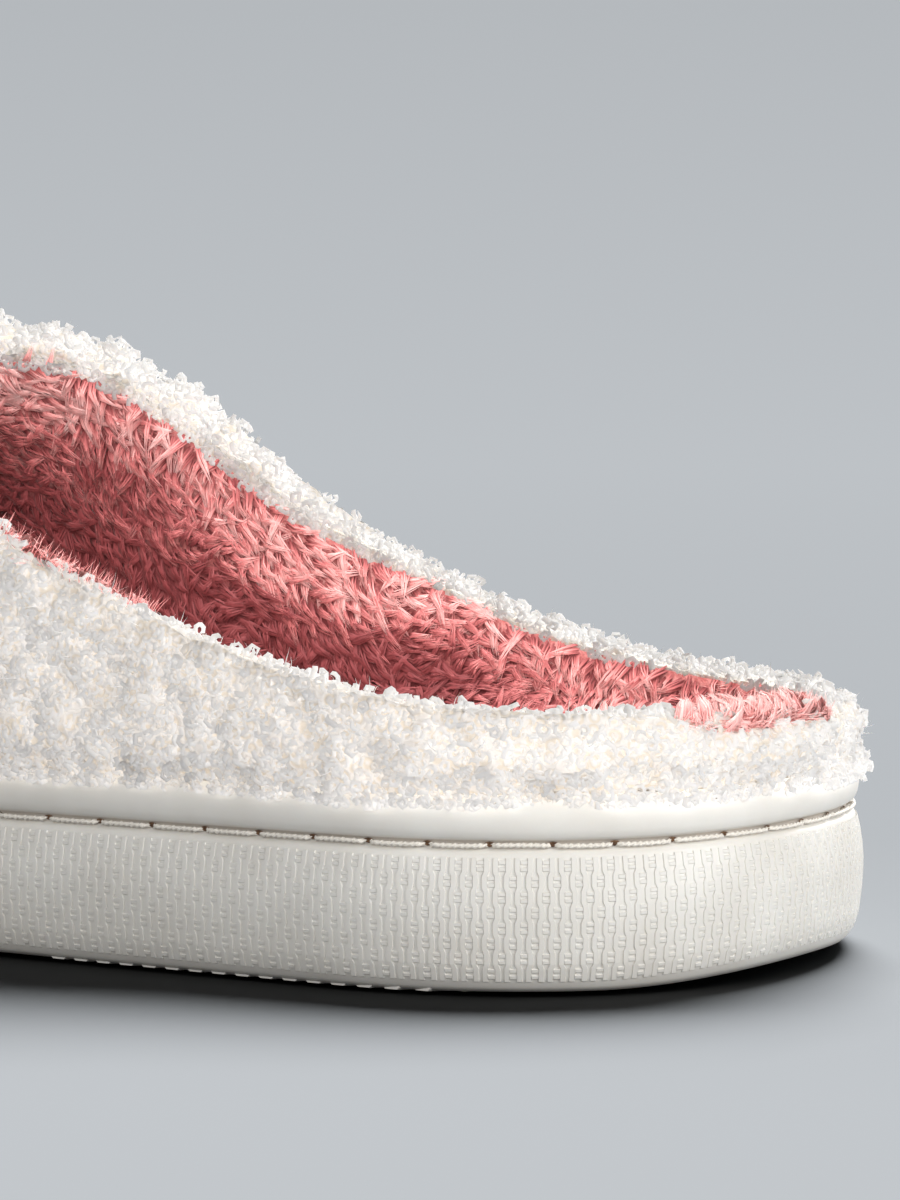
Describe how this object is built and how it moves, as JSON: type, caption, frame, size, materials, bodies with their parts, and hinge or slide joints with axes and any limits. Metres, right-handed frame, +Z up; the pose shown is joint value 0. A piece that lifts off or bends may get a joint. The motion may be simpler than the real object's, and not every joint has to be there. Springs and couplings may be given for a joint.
{
  "type": "house slipper",
  "caption": "Slip-on house slipper for the left foot: low-backed hollow fleece upper with a plush-lined foot space, padded insole and a moulded rubber cup sole with a ribbed tread.",
  "frame": {"origin": "under the middle of the slipper's bounding box, on the floor it stands on", "axes": "+Y towards the toe, +X towards the medial (inner) side of the left foot, +Z up"},
  "size_m": [0.1024, 0.266, 0.0733],
  "materials": {
    "moulded_rubber": "off-white moulded rubber, satin, with a woven-look relief on the side wall",
    "white_fleece": "white looped fleece with a pink plush lining",
    "pink_plush": "pink plush over foam"
  },
  "bodies": {
    "root": {"cupsole": "moulded_rubber", "upper": "white_fleece", "insole": "pink_plush"}
  },
  "joints": []
}
